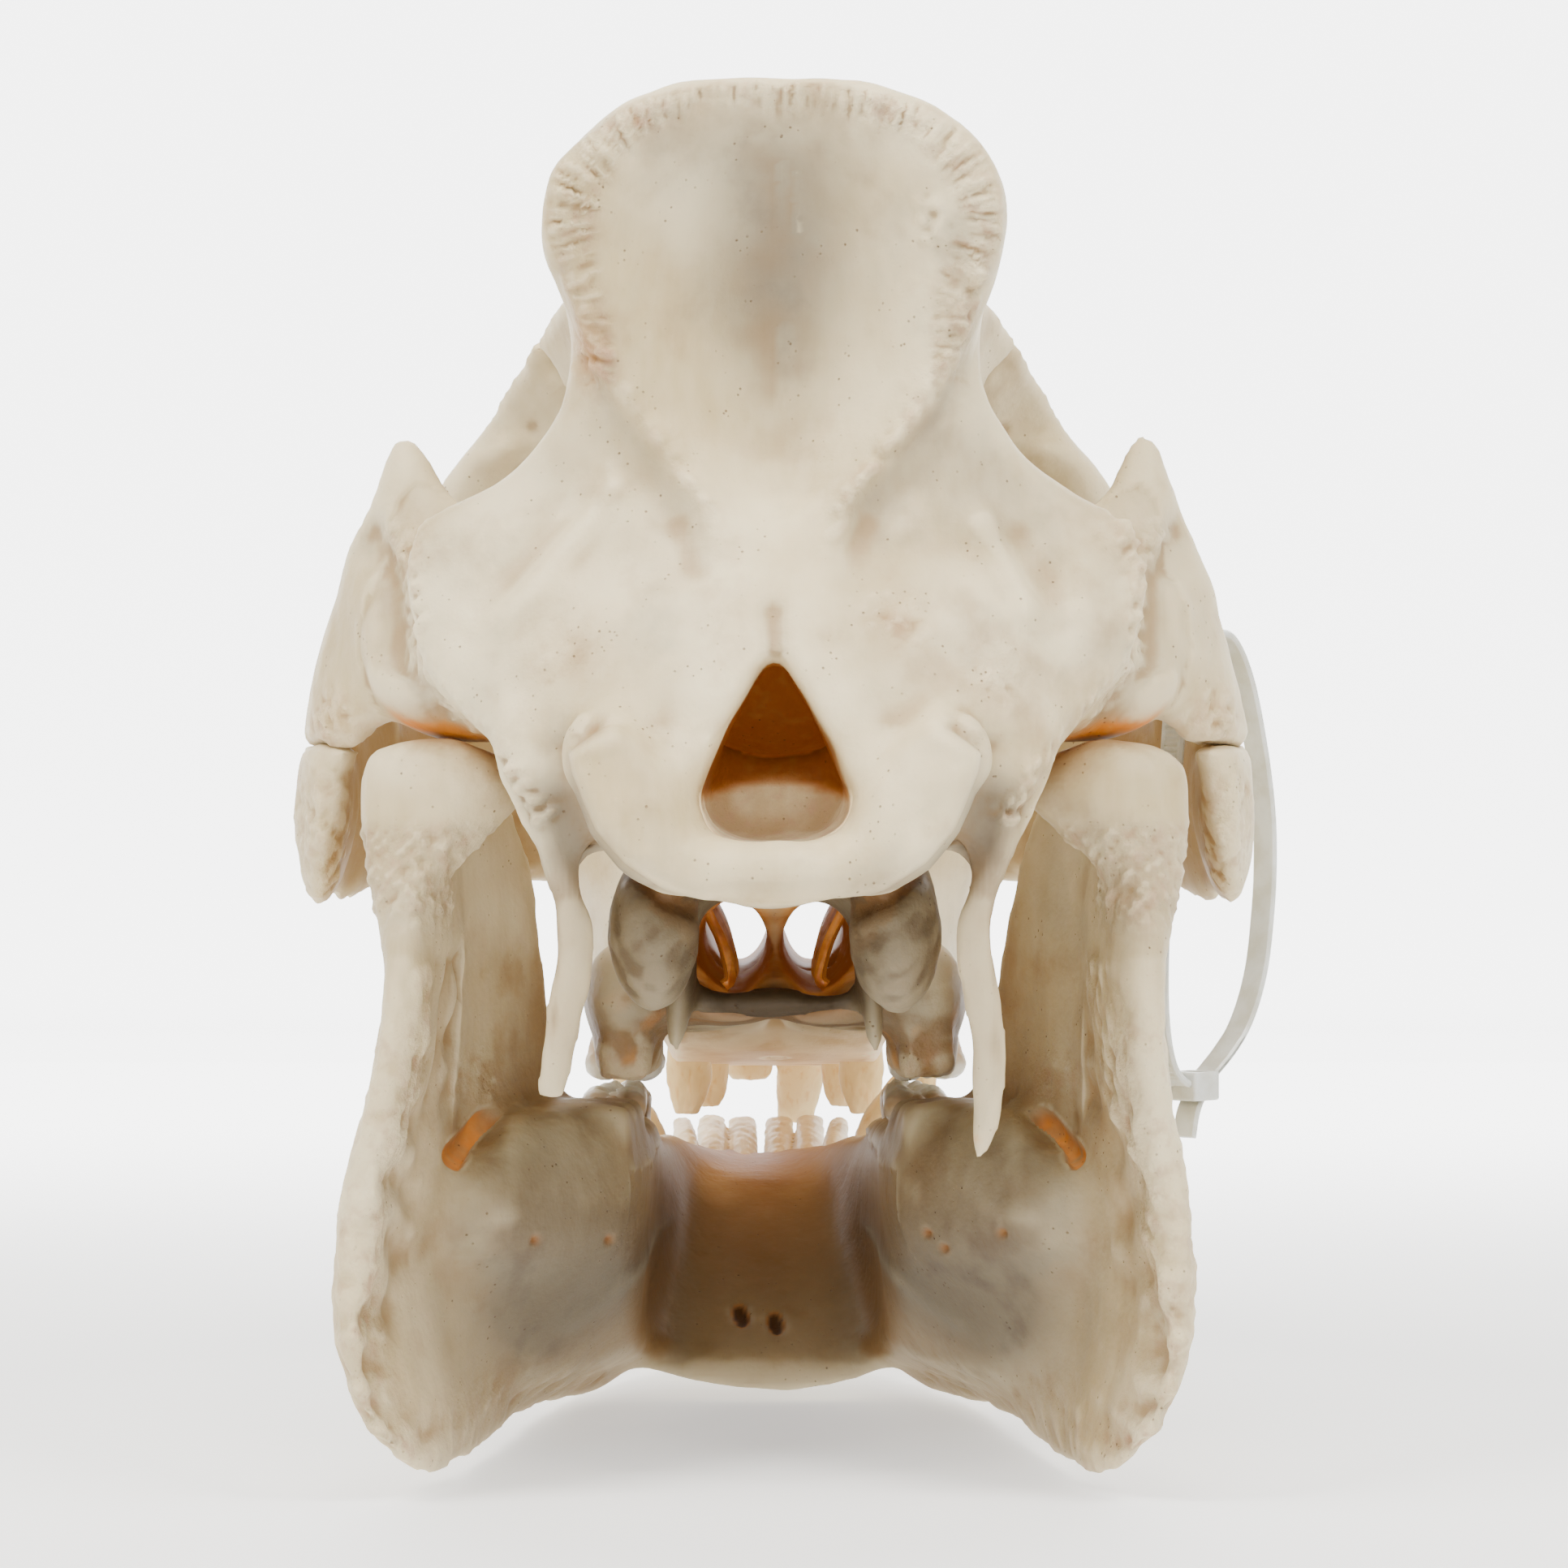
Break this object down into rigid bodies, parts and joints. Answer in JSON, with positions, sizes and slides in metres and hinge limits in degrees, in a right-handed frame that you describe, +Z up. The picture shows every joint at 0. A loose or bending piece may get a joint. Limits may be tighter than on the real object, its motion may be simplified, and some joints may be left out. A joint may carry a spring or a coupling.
{
  "type": "pig skull",
  "caption": "Adult pig skull with its lower jaw and teeth, high crest, open cheek arches and great hole, standing on its chin and jaw angles, a cable tie round one arch.",
  "frame": {"origin": "middle of the underside of the box round the whole, on the floor", "axes": "+Z up, -Y towards the snout, +X towards the animal's left"},
  "size_m": [0.1716, 0.2886, 0.2283],
  "materials": {
    "bone": "dry bone, cream, matt, with a slight sheen on the teeth",
    "nylon": "whitish translucent nylon"
  },
  "bodies": {
    "root": {"braincase": "bone", "cable_tie": "nylon", "frontal_left": "bone", "frontal_right": "bone", "incisive_left": "bone", "incisive_right": "bone", "mandible": "bone", "maxilla_left": "bone", "maxilla_right": "bone", "nasal_left": "bone", "nasal_right": "bone", "zygomatic_left": "bone", "zygomatic_right": "bone"}
  },
  "joints": []
}
